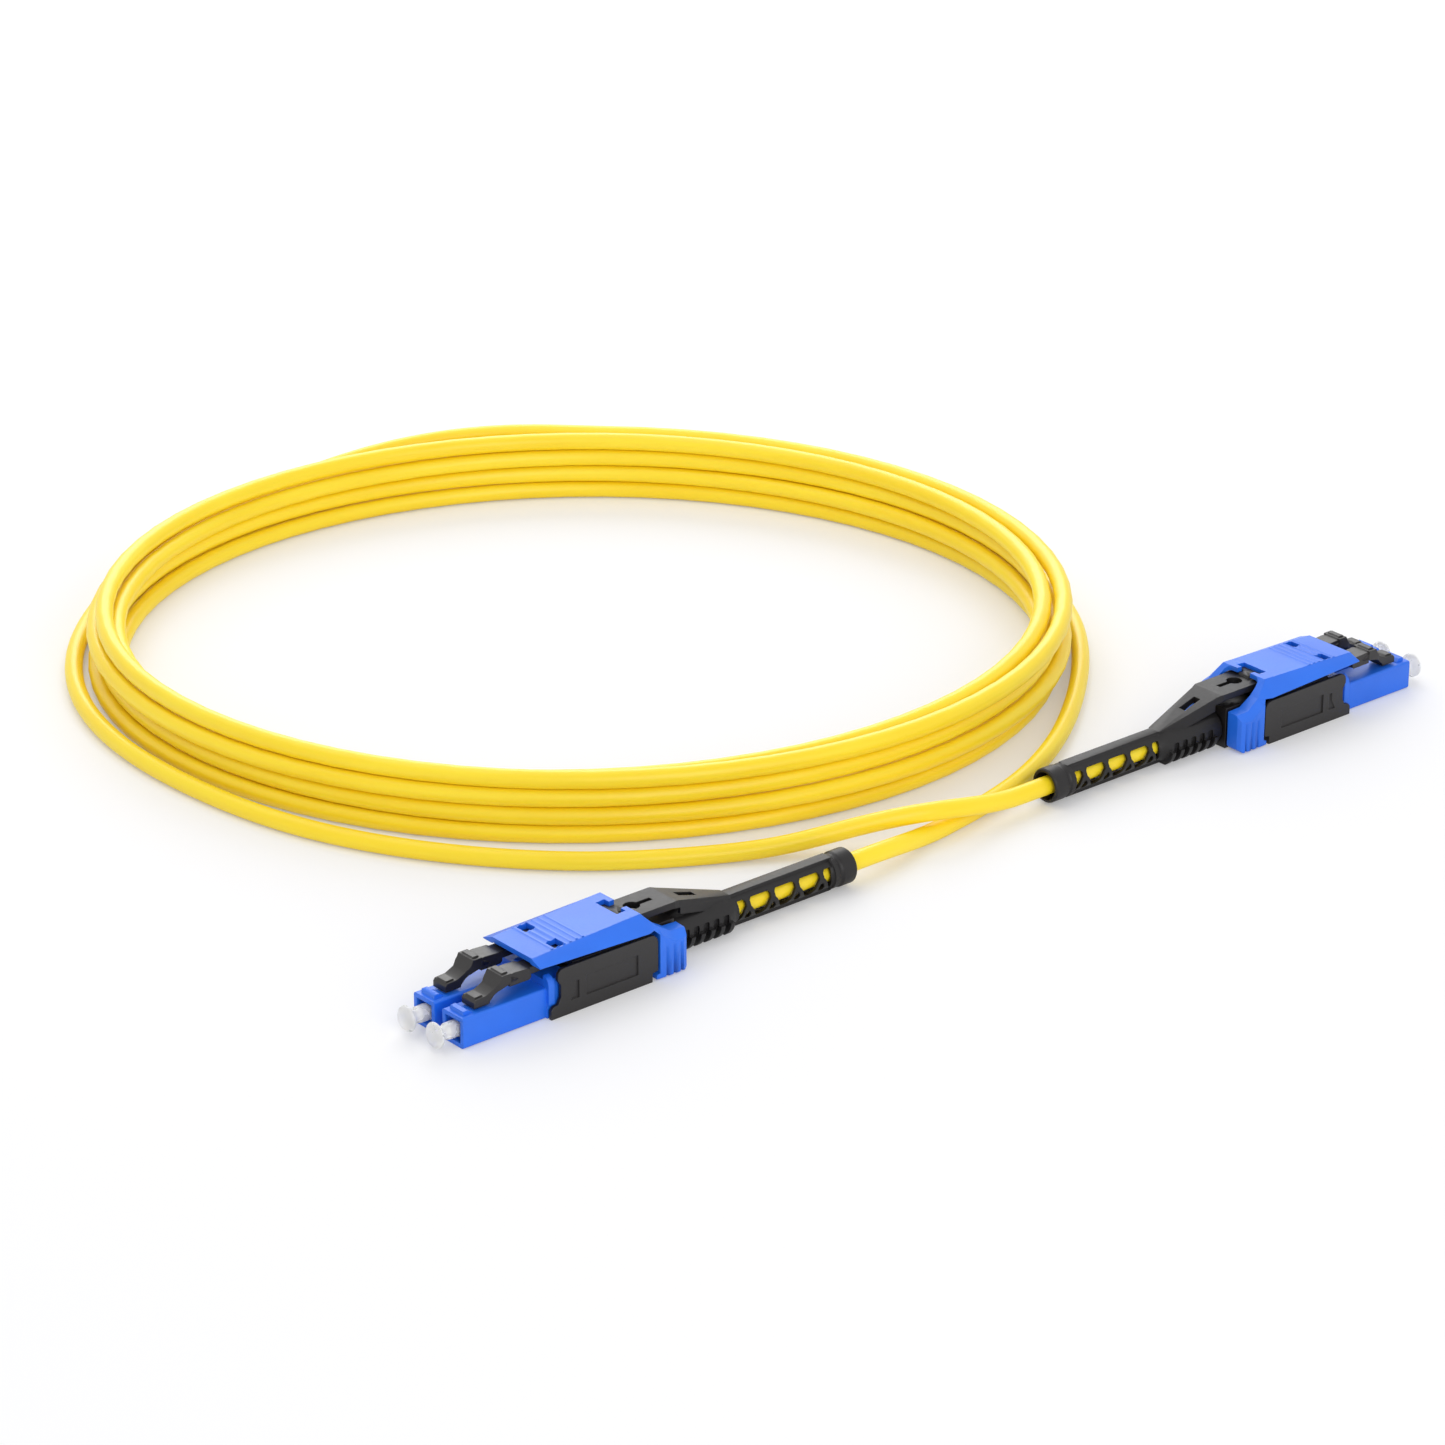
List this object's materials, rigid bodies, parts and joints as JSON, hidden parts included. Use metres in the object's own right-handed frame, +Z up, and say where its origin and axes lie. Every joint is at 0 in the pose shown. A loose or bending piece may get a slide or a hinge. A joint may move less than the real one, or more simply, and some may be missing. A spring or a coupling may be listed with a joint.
{
  "type": "fiber optic patch cord",
  "caption": "Coiled round fiber optic cord with a push-pull duplex connector at each end: sliding boot and cover, pressed latches, sprung ferrules and dust caps.",
  "frame": {"origin": "on the surface that the cord lies on, midway between the two connectors", "axes": "+Z up; +X along the long way of the two connectors as they lie, towards connector b; +Y away from the viewer of the picture, towards the coil"},
  "size_m": [0.2099, 0.2077, 0.0126],
  "materials": {
    "blue_plastic": "satin moulded",
    "black_plastic": "fine matt moulded",
    "yellow_jacket": "satin extruded jacket",
    "clear_cap": "milky translucent, soft",
    "zirconia": "polished ceramic",
    "nickel": "nickel-plated brass",
    "spring_steel": "drawn steel wire",
    "buffer_white": "smooth extruded"
  },
  "bodies": {
    "cord_and_housings": {"cord_coil": "yellow_jacket", "cord_stretch_a": "yellow_jacket", "cord_stretch_b": "yellow_jacket", "front_housing_a": "blue_plastic", "back_body_a": "black_plastic", "body_lid_a": "black_plastic", "spring_retainer_a": "black_plastic", "crimp_body_a": "nickel", "crimp_ring_a": "nickel", "spring_left_a": "spring_steel", "spring_right_a": "spring_steel", "front_housing_b": "blue_plastic", "back_body_b": "black_plastic", "body_lid_b": "black_plastic", "spring_retainer_b": "black_plastic", "crimp_body_b": "nickel", "crimp_ring_b": "nickel", "spring_left_b": "spring_steel", "spring_right_b": "spring_steel"},
    "release_a": {"slide_cover_a": "blue_plastic", "boot_a": "black_plastic"},
    "latch_left_a": {"latch_left_a": "black_plastic"},
    "ferrule_left_a": {"ferrule_left_a": "zirconia", "ferrule_holder_left_a": "nickel", "fibre_left_a": "buffer_white"},
    "cap_left_a": {"cap_left_a": "clear_cap"},
    "latch_right_a": {"latch_right_a": "black_plastic"},
    "ferrule_right_a": {"ferrule_right_a": "zirconia", "ferrule_holder_right_a": "nickel", "fibre_right_a": "buffer_white"},
    "cap_right_a": {"cap_right_a": "clear_cap"},
    "release_b": {"slide_cover_b": "blue_plastic", "boot_b": "black_plastic"},
    "latch_left_b": {"latch_left_b": "black_plastic"},
    "ferrule_left_b": {"ferrule_left_b": "zirconia", "ferrule_holder_left_b": "nickel", "fibre_left_b": "buffer_white"},
    "cap_left_b": {"cap_left_b": "clear_cap"},
    "latch_right_b": {"latch_right_b": "black_plastic"},
    "ferrule_right_b": {"ferrule_right_b": "zirconia", "ferrule_holder_right_b": "nickel", "fibre_right_b": "buffer_white"},
    "cap_right_b": {"cap_right_b": "clear_cap"}
  },
  "joints": [
    {"name": "release_a", "type": "slide", "parent": "cord_and_housings", "child": "release_a", "axis": [0.7638, 0.6455, 0], "range_m": [0, 0.0025], "stiffness_N_per_m": 1500},
    {"name": "latch_press_left_a", "type": "hinge", "parent": "cord_and_housings", "child": "latch_left_a", "pos_m": [-0.06518, -0.05987, 0.0048], "axis": [-0.6455, 0.7638, 0], "range_deg": [0, 3.5]},
    {"name": "ferrule_float_left_a", "type": "slide", "parent": "cord_and_housings", "child": "ferrule_left_a", "axis": [0.7638, 0.6455, 0], "range_m": [0, 0.0012], "stiffness_N_per_m": 1500, "deforming": ["spring_left_a"]},
    {"name": "cap_pull_left_a", "type": "slide", "parent": "cord_and_housings", "child": "cap_left_a", "axis": [-0.7638, -0.6455, 0], "range_m": [0, 0.009]},
    {"name": "latch_press_right_a", "type": "hinge", "parent": "cord_and_housings", "child": "latch_right_a", "pos_m": [-0.06921, -0.05509, 0.0048], "axis": [-0.6455, 0.7638, 0], "range_deg": [0, 3.5]},
    {"name": "ferrule_float_right_a", "type": "slide", "parent": "cord_and_housings", "child": "ferrule_right_a", "axis": [0.7638, 0.6455, 0], "range_m": [0, 0.0012], "stiffness_N_per_m": 1500, "deforming": ["spring_right_a"]},
    {"name": "cap_pull_right_a", "type": "slide", "parent": "cord_and_housings", "child": "cap_right_a", "axis": [-0.7638, -0.6455, 0], "range_m": [0, 0.009]},
    {"name": "release_b", "type": "slide", "parent": "cord_and_housings", "child": "release_b", "axis": [-0.7638, -0.6455, 0], "range_m": [0, 0.0025], "stiffness_N_per_m": 1500},
    {"name": "latch_press_left_b", "type": "hinge", "parent": "cord_and_housings", "child": "latch_left_b", "pos_m": [0.06518, 0.05987, 0.0048], "axis": [0.6455, -0.7638, 0], "range_deg": [0, 3.5]},
    {"name": "ferrule_float_left_b", "type": "slide", "parent": "cord_and_housings", "child": "ferrule_left_b", "axis": [-0.7638, -0.6455, 0], "range_m": [0, 0.0012], "stiffness_N_per_m": 1500, "deforming": ["spring_left_b"]},
    {"name": "cap_pull_left_b", "type": "slide", "parent": "cord_and_housings", "child": "cap_left_b", "axis": [0.7638, 0.6455, 0], "range_m": [0, 0.009]},
    {"name": "latch_press_right_b", "type": "hinge", "parent": "cord_and_housings", "child": "latch_right_b", "pos_m": [0.06921, 0.05509, 0.0048], "axis": [0.6455, -0.7638, 0], "range_deg": [0, 3.5]},
    {"name": "ferrule_float_right_b", "type": "slide", "parent": "cord_and_housings", "child": "ferrule_right_b", "axis": [-0.7638, -0.6455, 0], "range_m": [0, 0.0012], "stiffness_N_per_m": 1500, "deforming": ["spring_right_b"]},
    {"name": "cap_pull_right_b", "type": "slide", "parent": "cord_and_housings", "child": "cap_right_b", "axis": [0.7638, 0.6455, 0], "range_m": [0, 0.009]}
  ],
  "couplings": [
    {"joint": "latch_press_left_a", "follows": "release_a", "rad_per_m": 24.4},
    {"joint": "latch_press_right_a", "follows": "release_a", "rad_per_m": 24.4},
    {"joint": "latch_press_left_b", "follows": "release_b", "rad_per_m": 24.4},
    {"joint": "latch_press_right_b", "follows": "release_b", "rad_per_m": 24.4}
  ]
}
